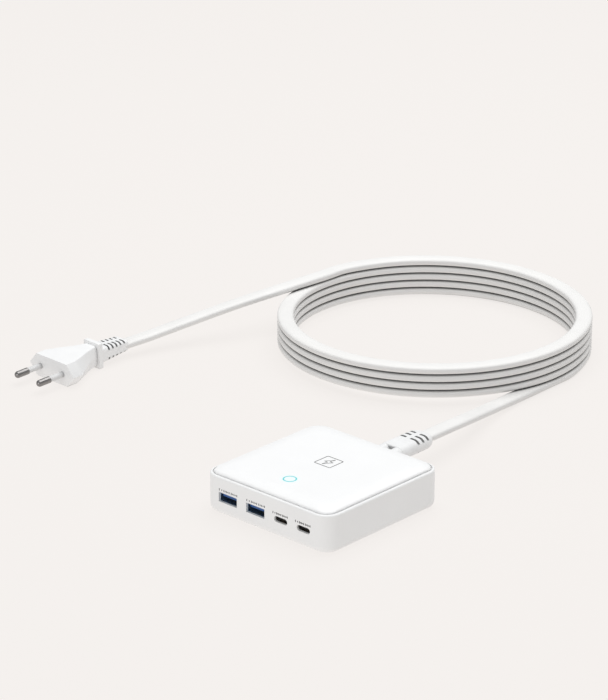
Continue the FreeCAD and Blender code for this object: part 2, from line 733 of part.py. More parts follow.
def make_usb_c(number):
    """One USB-C receptacle: rounded steel shell, tongue with its back block, two rows of contacts."""
    x = f"Sizes.usb_c_{number}_x"
    front = "(Sizes.hub_depth / 2 - Sizes.c_shell_setback)"
    shell = new_body(f"usb_c_shell_{number}")
    outline = new_sketch(shell, "XZ_Plane", "outer", x=x, y="Sizes.port_height", lift=front)
    draw_obround(outline, "Sizes.c_shell_width", "Sizes.c_shell_height")
    pad(shell, outline, "Sizes.c_shell_depth", reverse=True)
    bore = new_sketch(shell, "XZ_Plane", "inner", x=x, y="Sizes.port_height", lift=front)
    inner_width = "(Sizes.c_shell_width - 2 * Sizes.shell_wall)"
    inner_height = "(Sizes.c_shell_height - 2 * Sizes.shell_wall)"
    draw_obround(bore, inner_width, inner_height)
    pocket(shell, bore, "Sizes.c_shell_depth - Sizes.shell_wall")

    tongue = new_body(f"usb_c_tongue_{number}")
    back = f"({front} - Sizes.c_shell_depth + Sizes.shell_wall)"
    block = new_sketch(tongue, "XZ_Plane", "block", x=x, y="Sizes.port_height", lift=back)
    draw_obround(block, inner_width, inner_height)
    pad(tongue, block, "Sizes.c_block_depth")
    blade = new_sketch(tongue, "XZ_Plane", "blade", x=x, y="Sizes.port_height", lift=back)
    draw_rectangle(blade, "Sizes.c_tongue_width", "Sizes.c_tongue_height")
    pad(tongue, blade, "Sizes.c_shell_depth - Sizes.shell_wall - Sizes.c_tongue_setback")

    contacts = []
    for side, bottom in (
        ("upper", "Sizes.port_height + Sizes.c_tongue_height / 2"),
        ("lower", "Sizes.port_height - Sizes.c_tongue_height / 2 - Sizes.c_contact_thickness"),
    ):
        for k in range(12):
            contacts.append(
                new_box(
                    f"usb_c_contact_{number}_{side}_{k + 1}",
                    "Sizes.c_contact_width",
                    "Sizes.c_contact_length",
                    "Sizes.c_contact_thickness",
                    f"({x} + {k - 5.5} * Sizes.c_contact_pitch)",
                    f"(0 - {front} + Sizes.c_tongue_setback + 0.4 + Sizes.c_contact_length / 2)",
                    bottom,
                )
            )
    new_group(f"usb_c_contacts_{number}", contacts)


def make_inlet():
    """The figure-eight mains inlet: moulded block with its cavity, and two round pins."""
    body = new_body("inlet_housing")
    outline = new_sketch(body, "XZ_Plane", "block", y="Sizes.inlet_height", lift=f"-{FRONT}")
    draw_rectangle(outline, "Sizes.inlet_block_width", "Sizes.inlet_block_height")
    pad(body, outline, "Sizes.inlet_block_depth")
    waist = new_sketch(body, "XZ_Plane", "waist", y="Sizes.inlet_height", lift=f"-{FRONT}")
    draw_rectangle(waist, "Sizes.lobe_spacing", "Sizes.cavity_waist_height")
    pocket(body, waist, "Sizes.inlet_cavity_depth", reverse=True)
    lobes = new_sketch(body, "XZ_Plane", "lobes", y="Sizes.inlet_height", lift=f"-{FRONT}")
    holes = new_sketch(body, "XZ_Plane", "holes", y="Sizes.inlet_height", lift=f"-{FRONT}")
    for side in ("-", ""):
        draw_circle(lobes, "Sizes.cavity_lobe_radius", x=f"{side}Sizes.lobe_spacing / 2")
        draw_circle(holes, "Sizes.inlet_pin_radius", x=f"{side}Sizes.lobe_spacing / 2")
    pocket(body, lobes, "Sizes.inlet_cavity_depth", reverse=True)
    pocket(body, holes, "Sizes.inlet_block_depth + 1", reverse=True)

    start = f"({FRONT} - Sizes.inlet_block_depth - Sizes.inlet_pin_tail)"
    length = f"{FRONT} - Sizes.inlet_pin_end_gap - {start}"
    pins = [
        new_cylinder(
            f"inlet_pin_{k + 1}",
            "Sizes.inlet_pin_radius",
            length,
            f"{side}Sizes.lobe_spacing / 2",
            start,
            "Sizes.inlet_height",
            along_y=True,
        )
        for k, side in enumerate(("-", ""))
    ]
    new_group("inlet_pins", pins)


def make_board():
    """The main circuit board and the parts that stand on it."""
    board = new_body("main_board")
    outline = new_sketch(board, "XY_Plane", "outline", lift=f"{BOARD_TOP} - Sizes.board_thickness")
    draw_rounded(outline, "Sizes.board_size", "Sizes.board_size", "Sizes.board_corner")
    for_posts = new_sketch(board, "XY_Plane", "holes", lift=BOARD_TOP)
    for sx, sy in CORNERS:
        draw_circle(for_posts, "Sizes.board_hole_radius", f"{sx}{HALF_SCREWS}", f"{sy}{HALF_SCREWS}")
    pad(board, outline, "Sizes.board_thickness")
    pocket(board, for_posts, "Sizes.board_thickness")
    for name in BOARD_BLOCKS:
        sides = [f"Sizes.{name}_{word}" for word in ("length", "width", "height", "x", "y")]
        keep(new_box(name, *sides, BOARD_TOP))
    for name in OUTPUT_CAPACITORS:
        sides = [f"Sizes.{name}_{word}" for word in ("radius", "length", "x", "y")]
        keep(new_cylinder(name, *sides, BOARD_TOP))
    for name in BULK_CAPACITORS:
        sides = [f"Sizes.{name}_{word}" for word in ("radius", "length", "x", "y")]
        keep(new_cylinder(name, *sides, f"{BOARD_TOP} + Sizes.{name}_radius", along_y=True))

    middle = ("Sizes.core_x", "Sizes.core_y")
    core_sides = ("Sizes.core_length", "Sizes.core_width", "Sizes.core_height")
    core = new_box("core_block", *core_sides, *middle, BOARD_TOP)
    windows = [
        new_box(
            f"core_window_{k}",
            "Sizes.window_length",
            "Sizes.core_width + 2",
            "Sizes.window_height",
            f"(Sizes.core_x {side} Sizes.window_offset)",
            "Sizes.core_y",
            f"{BOARD_TOP} + Sizes.window_bottom",
        )
        for k, side in ((1, "-"), (2, "+"))
    ]
    keep(new_cut("transformer_core", core, new_fuse("core_windows", windows)))
    winding_sides = ("Sizes.winding_size", "Sizes.winding_size", "Sizes.winding_height")
    winding = new_box("winding_block", *winding_sides, *middle, f"{BOARD_TOP} + Sizes.winding_bottom")
    leg_sides = ("Sizes.winding_leg", "Sizes.core_width + 0.4", "Sizes.winding_height + 2")
    leg = new_box("winding_leg_hole", *leg_sides, *middle, f"{BOARD_TOP} + Sizes.winding_bottom - 1")
    keep(new_cut("transformer_winding", winding, leg))

    choke = doc.addObject("Part::Torus", "input_choke")
    bind(choke, Radius1="Sizes.choke_radius", Radius2="Sizes.choke_wire_radius")
    bind(choke, Placement__Base__x="Sizes.choke_x", Placement__Base__y="Sizes.choke_y")
    bind(choke, Placement__Base__z=f"{BOARD_TOP} + Sizes.choke_wire_radius + 0.05")
    keep(choke)
    spreader_sides = ("Sizes.spreader_length", "Sizes.spreader_width", "Sizes.spreader_thickness")
    spreader_bottom = f"{ROOF_UNDERSIDE} - Sizes.spreader_gap - Sizes.spreader_thickness"
    keep(new_box("heat_spreader", *spreader_sides, "0", "Sizes.spreader_y", spreader_bottom))


def make_fasteners():
    """Four screws, four rubber feet and a blank rating label under the hub."""
    screws, feet = [], []
    for k, (sx, sy) in enumerate(CORNERS):
        place = (f"{sx}{HALF_SCREWS}", f"{sy}{HALF_SCREWS}")
        head_bottom = "Sizes.foot_height + Sizes.foot_recess_depth"
        head_size = ("Sizes.screw_head_radius", "Sizes.screw_head_height")
        shank_size = ("Sizes.screw_radius", "Sizes.screw_length")
        head = new_cylinder(f"screw_head_{k + 1}", *head_size, *place, head_bottom)
        shank = new_cylinder(f"screw_shank_{k + 1}", *shank_size, *place, head_bottom)
        screws.append(new_fuse(f"screw_{k + 1}", [head, shank]))
        height = "Sizes.foot_height + Sizes.foot_recess_depth"
        feet.append(new_cylinder(f"foot_{k + 1}", "Sizes.foot_radius", height, *place, "0"))
    new_group("housing_screws", screws)
    new_group("rubber_feet", feet)
    label_bottom = "Sizes.foot_height + Sizes.label_recess - Sizes.label_thickness"
    label_sides = ("Sizes.label_length", "Sizes.label_width", "Sizes.label_thickness")
    keep(new_box("rating_label", *label_sides, "0", "0", label_bottom))


def slot_rows(body, name, first, pitch, count, width, gap, floor, height):
    """Rows of crosswise slots on both sides of the middle, from the top and from below."""
    for k in range(count):
        for side in ("-", ""):
            for end, turn in (("over", False), ("under", True)):
                level = f"{height} + {floor}" if end == "over" else f"{height} - {floor}"
                slot = new_sketch(
                    body,
                    "XY_Plane",
                    f"{name}_{k}_{end}" + ("_left" if side else "_right"),
                    x=f"{side}({gap} / 2 + Sizes.slot_tool_length / 2)",
                    y=f"{first} + {k} * {pitch}",
                    lift=level,
                )
                draw_rectangle(slot, "Sizes.slot_tool_length", width)
                pocket(body, slot, "Sizes.slot_tool_depth", reverse=not turn)


def make_connector():
    """The moulded connector: figure-eight nose, body and slotted strain relief."""
    body = new_body("connector_body")
    height = "Sizes.inlet_height"
    grip = new_sketch(body, "XZ_Plane", "grip", y=height, lift="-Sizes.connector_end")
    draw_obround(grip, "Sizes.connector_width", "Sizes.connector_height")
    block = pad(body, grip, "Sizes.connector_end - Sizes.nose_end")
    fillet(body, block, "Sizes.connector_shoulder", flat_at("y", number_of("Sizes.nose_end")))

    tip = f"({FRONT} - Sizes.nose_insertion)"
    root = "(Sizes.nose_end + Sizes.connector_shoulder)"
    waist = new_sketch(body, "XZ_Plane", "waist", y=height, lift=f"-{root}")
    draw_rectangle(waist, "Sizes.lobe_spacing", "Sizes.nose_waist_height")
    pad(body, waist, f"{root} - {tip}")
    lobes = new_sketch(body, "XZ_Plane", "lobes", y=height, lift=f"-{root}")
    bores = new_sketch(body, "XZ_Plane", "bores", y=height, lift=f"-{tip}")
    for side in ("-", ""):
        draw_circle(lobes, "Sizes.nose_lobe_radius", x=f"{side}Sizes.lobe_spacing / 2")
        draw_circle(bores, "Sizes.socket_hole_radius", x=f"{side}Sizes.lobe_spacing / 2")
    pad(body, lobes, f"{root} - {tip}")
    pocket(body, bores, "Sizes.socket_length + Sizes.socket_setback + 2")

    relief = new_body("connector_strain_relief")
    sections = [("Sizes.connector_end", "Sizes.connector_width", "Sizes.connector_height")]
    for order in range(1, len(RELIEF_SECTIONS) + 1):
        section = f"Sizes.relief_section_{order}"
        sections.append(tuple(f"{section}_{word}" for word in ("y", "width", "height")))
    outlines = []
    for k, (y, width, tall) in enumerate(sections):
        outline = new_sketch(relief, "XZ_Plane", f"outline_{k}", y=height, lift=f"-{y}")
        draw_obround(outline, width, tall)
        outlines.append(outline)
    loft(relief, outlines, ruled=True)
    slot_rows(
        relief,
        "slot",
        "Sizes.relief_slot_first",
        "Sizes.relief_slot_pitch",
        3,
        "Sizes.relief_slot_width",
        "Sizes.relief_slot_gap",
        "Sizes.relief_slot_floor",
        height,
    )

    sockets = []
    for k, side in enumerate(("-", "")):
        x, y = f"{side}Sizes.lobe_spacing / 2", f"{tip} + Sizes.socket_setback"
        run = ("Sizes.socket_length", x, y, height)
        outer_tube = new_cylinder(f"socket_outer_{k + 1}", "Sizes.socket_outer_radius", *run, along_y=True)
        bore = new_cylinder(f"socket_bore_{k + 1}", "Sizes.socket_inner_radius", *run, along_y=True)
        sockets.append(new_cut(f"socket_{k + 1}", outer_tube, bore))
    new_group("connector_sockets", sockets)


def make_plug(placement):
    """The flat two-pin plug: hexagonal body that narrows to a flange, strain relief, pins."""
    body = new_body("plug_body", placement)
    sections = []
    faces = [("0", "Sizes.plug_flat_width", "Sizes.plug_full_width", "Sizes.plug_face_height")]
    faces.append(("Sizes.plug_prism",) + faces[0][1:])
    for order in range(1, len(PLUG_SECTIONS) + 1):
        section = f"Sizes.plug_section_{order}"
        faces.append(tuple(f"{section}_{word}" for word in ("back", "flat", "full", "height")))
    for k, (back, flat, full, tall) in enumerate(faces):
        section = new_sketch(body, "XZ_Plane", f"section_{k}", lift=f"-{back}")
        draw_hexagon(section, flat, full, tall)
        sections.append(section)
    loft(body, sections, ruled=True)
    flange = new_sketch(body, "XZ_Plane", "flange", lift="-Sizes.flange_start - Sizes.flange_thickness")
    draw_rounded(flange, "Sizes.flange_width", "Sizes.flange_height", "Sizes.flange_corner")
    pad(body, flange, "Sizes.flange_thickness")
    for word, radius, depth in (
        ("sleeve", "Sizes.sleeve_radius", "Sizes.sleeve_depth"),
        ("core", "Sizes.pin_core_radius", "Sizes.pin_core_depth"),
    ):
        holes = new_sketch(body, "XZ_Plane", word, lift="0")
        for side in ("-", ""):
            draw_circle(holes, radius, x=f"{side}Sizes.pin_spacing / 2")
        pocket(body, holes, depth)

    flange_back = "(Sizes.flange_start + Sizes.flange_thickness)"

    relief = new_body("plug_strain_relief", placement)
    corner, middle = "Sizes.plug_relief_corner", "(0 - Sizes.plug_relief_drop)"
    start = new_sketch(relief, "XZ_Plane", "start", y=middle, lift=f"-{flange_back}")
    draw_rounded(start, "Sizes.plug_relief_width", "Sizes.plug_relief_height", corner)
    end = new_sketch(relief, "XZ_Plane", "end", y=middle, lift=f"-{flange_back} - Sizes.plug_relief_length")
    draw_rounded(end, "Sizes.plug_relief_end_width", "Sizes.plug_relief_end_height", corner)
    loft(relief, [start, end], ruled=True)
    slot_rows(
        relief,
        "slot",
        "Sizes.plug_slot_first",
        "Sizes.plug_slot_pitch",
        5,
        "Sizes.plug_slot_width",
        "Sizes.plug_slot_gap",
        "Sizes.plug_slot_floor",
        middle,
    )

    for word, side in (("left", "-"), ("right", "")):
        x = f"{side}Sizes.pin_spacing / 2"
        pin = new_body(f"plug_pin_{word}", placement)
        tip = new_sketch(pin, "XZ_Plane", "tip", x=x, lift="Sizes.pin_length - Sizes.pin_tip_length")
        draw_circle(tip, "Sizes.pin_radius")
        shaft = pad(pin, tip, "Sizes.pin_tip_length")
        end_y = -number_of("Sizes.pin_length")
        fillet(pin, shaft, "Sizes.pin_radius - 0.05", flat_at("y", end_y))
        core = new_sketch(pin, "XZ_Plane", "core", x=x, lift="-Sizes.pin_core_depth")
        draw_circle(core, "Sizes.pin_core_radius")
        pad(pin, core, "Sizes.pin_core_depth + Sizes.pin_length - Sizes.pin_tip_length + 1")

        sleeve = new_body(f"plug_sleeve_{word}", placement)
        ring = new_sketch(sleeve, "XZ_Plane", "ring", x=x, lift="-Sizes.sleeve_depth")
        draw_circle(ring, "Sizes.sleeve_radius")
        draw_circle(ring, "Sizes.pin_core_radius")
        pad(sleeve, ring, "Sizes.sleeve_depth + Sizes.pin_length - Sizes.pin_tip_length")


# --- flat cord ---


def rounded_path(points, label):
    """Straight runs joined by tangent arcs; each arc takes 0.45 of the shorter run beside it."""
    points = [Vector(*p) for p in points]
    edges, last, radii = [], points[0], []
    for before, corner, after in zip(points, points[1:], points[2:]):
        arriving, leaving = corner - before, after - corner
        half_turn = arriving.getAngle(leaving) / 2
        reach = 0.45 * min(arriving.Length, leaving.Length)
        radius = reach / math.tan(half_turn)
        arriving.normalize()
        leaving.normalize()
        start, end = corner - arriving * reach, corner + leaving * reach
        inward = (leaving - arriving).normalize()
        middle = corner + inward * (radius / math.cos(half_turn) - radius)
        edges.append(Part.LineSegment(last, start).toShape())
        edges.append(Part.Arc(start, middle, end).toShape())
        radii.append(radius)
        last = end
    edges.append(Part.LineSegment(last, points[-1]).toShape())
    print(label, "bend radii", [round(r) for r in radii], "mm")
    return Part.Wire(edges)


def cord_section(start, ahead):
    """The rounded flat section, standing across the path at its start with its width level."""
    width, thickness = number_of("Sizes.cord_width"), number_of("Sizes.cord_thickness")
    corner = number_of("Sizes.cord_corner")
    a, b = width / 2 - corner, thickness / 2 - corner
    edges = []
    for k, (cx, cy) in enumerate(((a, -b), (a, b), (-a, b), (-a, -b))):
        angle = (k - 1) * math.pi / 2
        circle = Part.Circle(Vector(cx, cy, 0), Vector(0, 0, 1), corner)
        arc = Part.ArcOfCircle(circle, angle, angle + math.pi / 2)
        edges.append(arc.toShape())
    for k in range(4):
        begin, finish = edges[k].Vertexes[1].Point, edges[(k + 1) % 4].Vertexes[0].Point
        edges.append(Part.LineSegment(begin, finish).toShape())
    wire = Part.Wire(Part.__sortEdges__(edges))
    across = ahead.cross(Vector(0, 0, 1)).normalize()
    wire.Placement = Placement(start, Rotation(across, Vector(0, 0, 1), ahead, "ZXY"))
    return wire


def make_lead(label, points):
    """A stretch of flat cord that lies flat side down along a route of control points."""
    path = rounded_path(points, label)
    ahead = Vector(*points[1]) - Vector(*points[0])
    section = cord_section(Vector(*points[0]), ahead.normalize())
    sweep = Part.BRepOffsetAPI.MakePipeShell(path)
    sweep.setBiNormalMode(Vector(0, 0, 1))
    sweep.add(section)
    sweep.build()
    sweep.makeSolid()
    item = doc.addObject("Part::Feature", label)
    item.Label = label
    item.Shape = sweep.shape()
    area = Part.Face(section).Area
    ratio = item.Shape.Volume / (area * path.Length)
    print(label, "length", round(path.Length, 1), "mm, volume over section times length", round(ratio, 4))
    keep(item)


def make_coil():
    """The closed outer shape of the coil: one ring, as high as its layers."""
    centre = Vector(number_of("Sizes.coil_x"), number_of("Sizes.coil_y"), 0)
    body = new_body("cord_coil", Placement(centre, Rotation()))
    height = "(Sizes.coil_layers * Sizes.cord_thickness)"
    section = new_sketch(body, "XZ_Plane", "section", x="Sizes.coil_radius", y=f"{height} / 2 + 0.01")
    draw_rounded(section, "Sizes.cord_width", height, "Sizes.cord_corner")
    doc.recompute()
    ring = body.newObject("PartDesign::Revolution", "cord_coil_ring")
    ring.Profile = section
    axis = next(f for f in body.Origin.OriginFeatures if f.Role == "Z_Axis")
    ring.ReferenceAxis = (axis, [""])
    ring.Angle = 360
    doc.recompute()


yaw = Rotation(Vector(0, 0, 1), number_of("Sizes.plug_yaw"))
pitch = Rotation(Vector(1, 0, 0), number_of("Sizes.plug_pitch"))
plug_place = Vector(*(number_of(f"Sizes.plug_{word}") for word in ("x", "y", "height")))

make_base_housing()
make_top_cover()
make_status_light()
for port_number in (1, 2):
    make_usb_a(port_number)
    make_usb_c(port_number)
make_inlet()
make_board()
make_fasteners()
make_connector()
make_lead("cord_lead_hub", HUB_LEAD)
make_coil()
make_lead("cord_lead_plug", PLUG_LEAD)
make_plug(Placement(plug_place, yaw * pitch))
doc.recompute()

for item in doc.Objects:
    if "Invalid" in item.State or "Error" in item.State:
        raise ValueError(f"{item.Label} did not compute: {item.State}")
for label, piece in nodes.items():
    if piece.Shape.isNull() or not piece.Shape.isValid() or not piece.Shape.Solids:
        raise ValueError(f"{label} has no valid solid")

os.makedirs("parts", exist_ok=True)
for label, piece in nodes.items():
    piece.Shape.exportStep(f"parts/{label}.step")
print(len(nodes), "parts written")
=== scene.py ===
import json
import math

import bmesh
import bpy
from mathutils import Euler, Matrix, Vector


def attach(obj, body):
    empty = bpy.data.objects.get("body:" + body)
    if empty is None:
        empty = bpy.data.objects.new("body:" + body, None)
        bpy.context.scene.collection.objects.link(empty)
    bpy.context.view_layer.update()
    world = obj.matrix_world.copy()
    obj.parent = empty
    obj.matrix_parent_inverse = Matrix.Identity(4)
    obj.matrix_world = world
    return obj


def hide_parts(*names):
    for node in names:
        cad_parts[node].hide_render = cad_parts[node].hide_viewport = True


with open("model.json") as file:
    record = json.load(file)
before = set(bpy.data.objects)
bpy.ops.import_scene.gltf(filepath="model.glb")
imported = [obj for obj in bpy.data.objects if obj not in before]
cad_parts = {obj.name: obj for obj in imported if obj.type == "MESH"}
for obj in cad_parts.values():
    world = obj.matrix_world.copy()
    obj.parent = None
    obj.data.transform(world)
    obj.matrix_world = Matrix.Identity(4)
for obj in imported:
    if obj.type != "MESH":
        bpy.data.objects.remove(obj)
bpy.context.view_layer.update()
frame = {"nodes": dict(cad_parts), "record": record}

# Sizes of the object are in millimetres, and MM turns them into metres. The camera's place, the floor and
# the lamps are in metres, and noise scales are per metre.
MM = 0.001


# --- camera ---

CAMERA_PLACE = (1.00042, -1.08798, 0.67528)
CAMERA_RIGHT = (0.73206, 0.68124, -0.00117)
CAMERA_UP = (-0.25084, 0.27115, 0.92928)
CAMERA_LENS = 161.44
CAMERA_FILM = 36


def make_camera():
    """Looks down on the corner to the right of the ports."""
    data = bpy.data.cameras.new("camera")
    data.lens = CAMERA_LENS
    data.sensor_width = CAMERA_FILM
    data.clip_start = 0.1
    data.clip_end = 20
    camera = bpy.data.objects.new("camera", data)
    right, up = Vector(CAMERA_RIGHT), Vector(CAMERA_UP)
    turn = Matrix((right, up, right.cross(up))).transposed()
    camera.matrix_world = Matrix.Translation(CAMERA_PLACE) @ turn.to_4x4()
    bpy.context.scene.collection.objects.link(camera)
    bpy.context.scene.camera = camera


# --- materials ---

# Most of a noise's values lie between these two.
NOISE_LOW = 0.3
NOISE_HIGH = 0.7
# How far the roughness strays either way, the scale of the clouding of the colour, and how deep (in
# metres) and how mottled a metal's scratches are.
PLASTIC_GLOSS_SPREAD = 0.06
METAL_GLOSS_SPREAD = 0.08
PLASTIC_CLOUD = 60
METAL_CLOUD = 150
METAL_DEPTH = 0.000006
METAL_VARY = 0.06


def new_material(name):
    """A node material with its shader and its texture coordinates."""
    mat = bpy.data.materials.new(name)
    mat.use_nodes = True
    tree = mat.node_tree
    shader = tree.nodes["Principled BSDF"]
    place = tree.nodes.new("ShaderNodeTexCoord")
    return mat, tree, shader, place


def add_noise(tree, place, scale, detail, stretch=None):
    """Noise in the object's own space; stretch above 1 makes it finer along an axis."""
    noise = tree.nodes.new("ShaderNodeTexNoise")
    noise.inputs["Scale"].default_value = scale
    noise.inputs["Detail"].default_value = detail
    source = place.outputs["Object"]
    if stretch:
        mapping = tree.nodes.new("ShaderNodeMapping")
        mapping.inputs["Scale"].default_value = stretch
        tree.links.new(source, mapping.inputs["Vector"])
        source = mapping.outputs["Vector"]
    tree.links.new(source, noise.inputs["Vector"])
    return noise


def tint_by(tree, shader, noise, dark, light):
    """The base colour runs from dark to light with the noise."""
    ramp = tree.nodes.new("ShaderNodeValToRGB")
    ramp.color_ramp.elements[0].position = NOISE_LOW
    ramp.color_ramp.elements[0].color = (*dark, 1)
    ramp.color_ramp.elements[1].position = NOISE_HIGH
    ramp.color_ramp.elements[1].color = (*light, 1)
    tree.links.new(noise.outputs["Fac"], ramp.inputs["Fac"])
    tree.links.new(ramp.outputs["Color"], shader.inputs["Base Color"])


def map_range(tree, source, from_min, from_max, to_min, to_max):
    """Carries a value from one range to another."""
    node = tree.nodes.new("ShaderNodeMapRange")
    tree.links.new(source, node.inputs["Value"])
    node.inputs["From Min"].default_value = from_min
    node.inputs["From Max"].default_value = from_max
    node.inputs["To Min"].default_value = to_min
    node.inputs["To Max"].default_value = to_max
    return node.outputs["Result"]


def rough_by(tree, shader, noise, low, high):
    """The roughness runs from low to high with the noise."""
    result = map_range(tree, noise.outputs["Fac"], NOISE_LOW, NOISE_HIGH, low, high)
    tree.links.new(result, shader.inputs["Roughness"])


def bump_by(tree, shader, noise, distance):
    """The surface rises by up to this distance, in metres, with the noise."""
    bump = tree.nodes.new("ShaderNodeBump")
    bump.inputs["Strength"].default_value = 1.0
    bump.inputs["Distance"].default_value = distance
    tree.links.new(noise.outputs["Fac"], bump.inputs["Height"])
    tree.links.new(bump.outputs["Normal"], shader.inputs["Normal"])


def shaded(colour, factor):
    """The colour, lighter or darker by a factor."""
    return tuple(min(1.0, channel * factor) for channel in colour)


def plastic(name, colour, rough=0.42, grain=2600, depth=0.00002, vary=0.02, specular=0.5):
    """Moulded plastic: a fine erosion grain, faint clouding of the colour, uneven gloss."""
    mat, tree, shader, place = new_material(name)
    cloud = add_noise(tree, place, PLASTIC_CLOUD, 3)
    tint_by(tree, shader, cloud, shaded(colour, 1 - vary), shaded(colour, 1 + vary))
    fine = add_noise(tree, place, grain, 2)
    rough_by(tree, shader, fine, rough - PLASTIC_GLOSS_SPREAD, rough + PLASTIC_GLOSS_SPREAD)
    bump_by(tree, shader, fine, depth)
    shader.inputs["Specular IOR Level"].default_value = specular
    return mat


def metal(name, colour, rough=0.28, stretch=(1, 1, 1), scale=900):
    """Plated or drawn metal: stretched scratches in the gloss and a mottled colour."""
    mat, tree, shader, place = new_material(name)
    shader.inputs["Metallic"].default_value = 1.0
    cloud = add_noise(tree, place, METAL_CLOUD, 3)
    tint_by(tree, shader, cloud, shaded(colour, 1 - METAL_VARY), shaded(colour, 1 + METAL_VARY))
    drawn = add_noise(tree, place, scale, 3, stretch)
    rough_by(tree, shader, drawn, rough - METAL_GLOSS_SPREAD, rough + METAL_GLOSS_SPREAD)
    bump_by(tree, shader, drawn, METAL_DEPTH)
    return mat


def math_node(tree, operation, first, second):
    """One arithmetic step; each input is a socket or a number."""
    node = tree.nodes.new("ShaderNodeMath")
    node.operation = operation
    for place, value in enumerate((first, second)):
        if isinstance(value, (int, float)):
            node.inputs[place].default_value = value
        else:
            tree.links.new(value, node.inputs[place])
    return node.outputs[0]


def mix_colour(tree, shader, mask, colour):
    """Lays a colour over what already feeds the base colour, where the mask says so."""
    below = shader.inputs["Base Color"].links[0].from_socket
    mix = tree.nodes.new("ShaderNodeMix")
    mix.data_type = "RGBA"
    tree.links.new(mask, mix.inputs["Factor"])
    tree.links.new(below, mix.inputs["A"])
    mix.inputs["B"].default_value = (*colour, 1)
    tree.links.new(mix.outputs["Result"], shader.inputs["Base Color"])


def paint_side_shade(mat, colour, steps):
    """Paints shade over a face by how far it looks up; steps are (direction, weight)."""
    tree = mat.node_tree
    shader = tree.nodes["Principled BSDF"]
    surface = tree.nodes.new("ShaderNodeNewGeometry")
    split = tree.nodes.new("ShaderNodeSeparateXYZ")
    tree.links.new(surface.outputs["Normal"], split.inputs["Vector"])
    tilt = tree.nodes.new("ShaderNodeValToRGB")
    tree.links.new(map_range(tree, split.outputs["Z"], -1, 1, 0, 1), tilt.inputs["Fac"])
    for k, (position, weight) in enumerate(steps):
        element = tilt.color_ramp.elements[k] if k < 2 else tilt.color_ramp.elements.new(position)
        element.position = position
        element.color = (weight, weight, weight, 1)
    mix_colour(tree, shader, tilt.outputs["Color"], colour)
    return mat


HOLLOW_SAMPLES = 16


def shade_hollows(mat, reach, colour, open_at=0.85):
    """Darkens narrow hollows, where less of what lies within reach (in millimetres) is open."""
    tree = mat.node_tree
    shader = tree.nodes["Principled BSDF"]
    hollow = tree.nodes.new("ShaderNodeAmbientOcclusion")
    hollow.samples = HOLLOW_SAMPLES
    hollow.inputs["Distance"].default_value = reach * MM
    mix_colour(tree, shader, map_range(tree, hollow.outputs["AO"], 0, open_at, 1, 0), colour)
    return mat


SLOT_MARGIN = 0.04
# The painted shade inside the slots.
SLOT_SHADE_COLOUR = (0.38, 0.38, 0.38)


def shade_slots(mat, origin, turn, first, pitch, count, width, gap, floor, drop=0.0, under=True):
    """Paints shade into the inside of a strain relief's slots, which lie at even steps along its own Y.

    The first slot's middle is at first. A web as wide as gap stays between the left and the right slots.
    They are cut in from above and below, down to floor from the relief's middle plane, which lies lower
    than the origin by drop. With under off, those below are left as they are.
    """
    tree = mat.node_tree
    shader = tree.nodes["Principled BSDF"]
    place = tree.nodes.new("ShaderNodeTexCoord")
    local = tree.nodes.new("ShaderNodeMapping")
    local.vector_type = "TEXTURE"
    local.inputs["Location"].default_value = [c * MM for c in origin]
    local.inputs["Rotation"].default_value = turn
    local.inputs["Scale"].default_value = (MM, MM, MM)
    tree.links.new(place.outputs["Object"], local.inputs["Vector"])
    split = tree.nodes.new("ShaderNodeSeparateXYZ")
    tree.links.new(local.outputs["Vector"], split.inputs["Vector"])
    x, y, z = (split.outputs[axis] for axis in "XYZ")

    def magnitude(value):
        return math_node(tree, "ABSOLUTE", value, 0)

    step = math_node(tree, "DIVIDE", math_node(tree, "SUBTRACT", y, first - pitch / 2), pitch)
    off_middle = magnitude(math_node(tree, "SUBTRACT", math_node(tree, "FRACT", step, 0), 0.5))
    conditions = [
        (off_middle, "LESS_THAN", (width / 2 + SLOT_MARGIN) / pitch),
        (step, "GREATER_THAN", 0),
        (step, "LESS_THAN", count),
        (magnitude(x), "GREATER_THAN", gap / 2 - SLOT_MARGIN),
        (magnitude(math_node(tree, "ADD", z, drop)), "GREATER_THAN", floor - SLOT_MARGIN),
    ]
    if not under:
        conditions.append((z, "GREATER_THAN", 0))
    mask = 1.0
    for value, operation, limit in conditions:
        mask = math_node(tree, "MULTIPLY", mask, math_node(tree, operation, value, limit))
    mix_colour(tree, shader, mask, SLOT_SHADE_COLOUR)
    return mat


def paint_glow(mat, centre, inner, outer, colour, strength):
    """Paints the status light's glow onto the surface around it, fading from the inner to the outer
    radius.
    """
    tree = mat.node_tree
    shader = tree.nodes["Principled BSDF"]
    place = tree.nodes.new("ShaderNodeTexCoord")
    split = tree.nodes.new("ShaderNodeSeparateXYZ")
    tree.links.new(place.outputs["Object"], split.inputs["Vector"])
    dx = math_node(tree, "SUBTRACT", split.outputs["X"], centre[0] * MM)
    dy = math_node(tree, "SUBTRACT", split.outputs["Y"], centre[1] * MM)
    squares = [math_node(tree, "MULTIPLY", d, d) for d in (dx, dy)]
    distance = math_node(tree, "SQRT", math_node(tree, "ADD", *squares), 0)
    fade = map_range(tree, distance, inner * MM, outer * MM, strength, 0)
    mix_colour(tree, shader, fade, colour)
    return mat


# Places that materials share with the shapes. The plug's own frame has its face at the origin and its
# cord end along +Y.
PLUG_ORIGIN = (-229.9, 22.7, 6.9)
PLUG_TURN = (math.radians(1.65), 0.0, math.radians(-1.5))

LIGHT_CENTRE = (0.0, -24.6)
LIGHT_RADIUS = 3.7
GLOW_RADIUS = 6.0
INLET_HEIGHT = 14.3

# Steps of (direction, weight): how much of the painted shade a face takes, from one that looks down (0)
# over one that looks sideways (0.5) to one that looks up (1).
CORD_TILT_SHADE = ((0.2, 0.15), (0.5, 0.50), (0.65, 0.64), (0.75, 0.5), (0.96, 0.0))
PLUG_TILT_SHADE = ((0.2, 0.05), (0.5, 0.15), (0.72, 0.75), (0.85, 0.9), (0.97, 0.0))

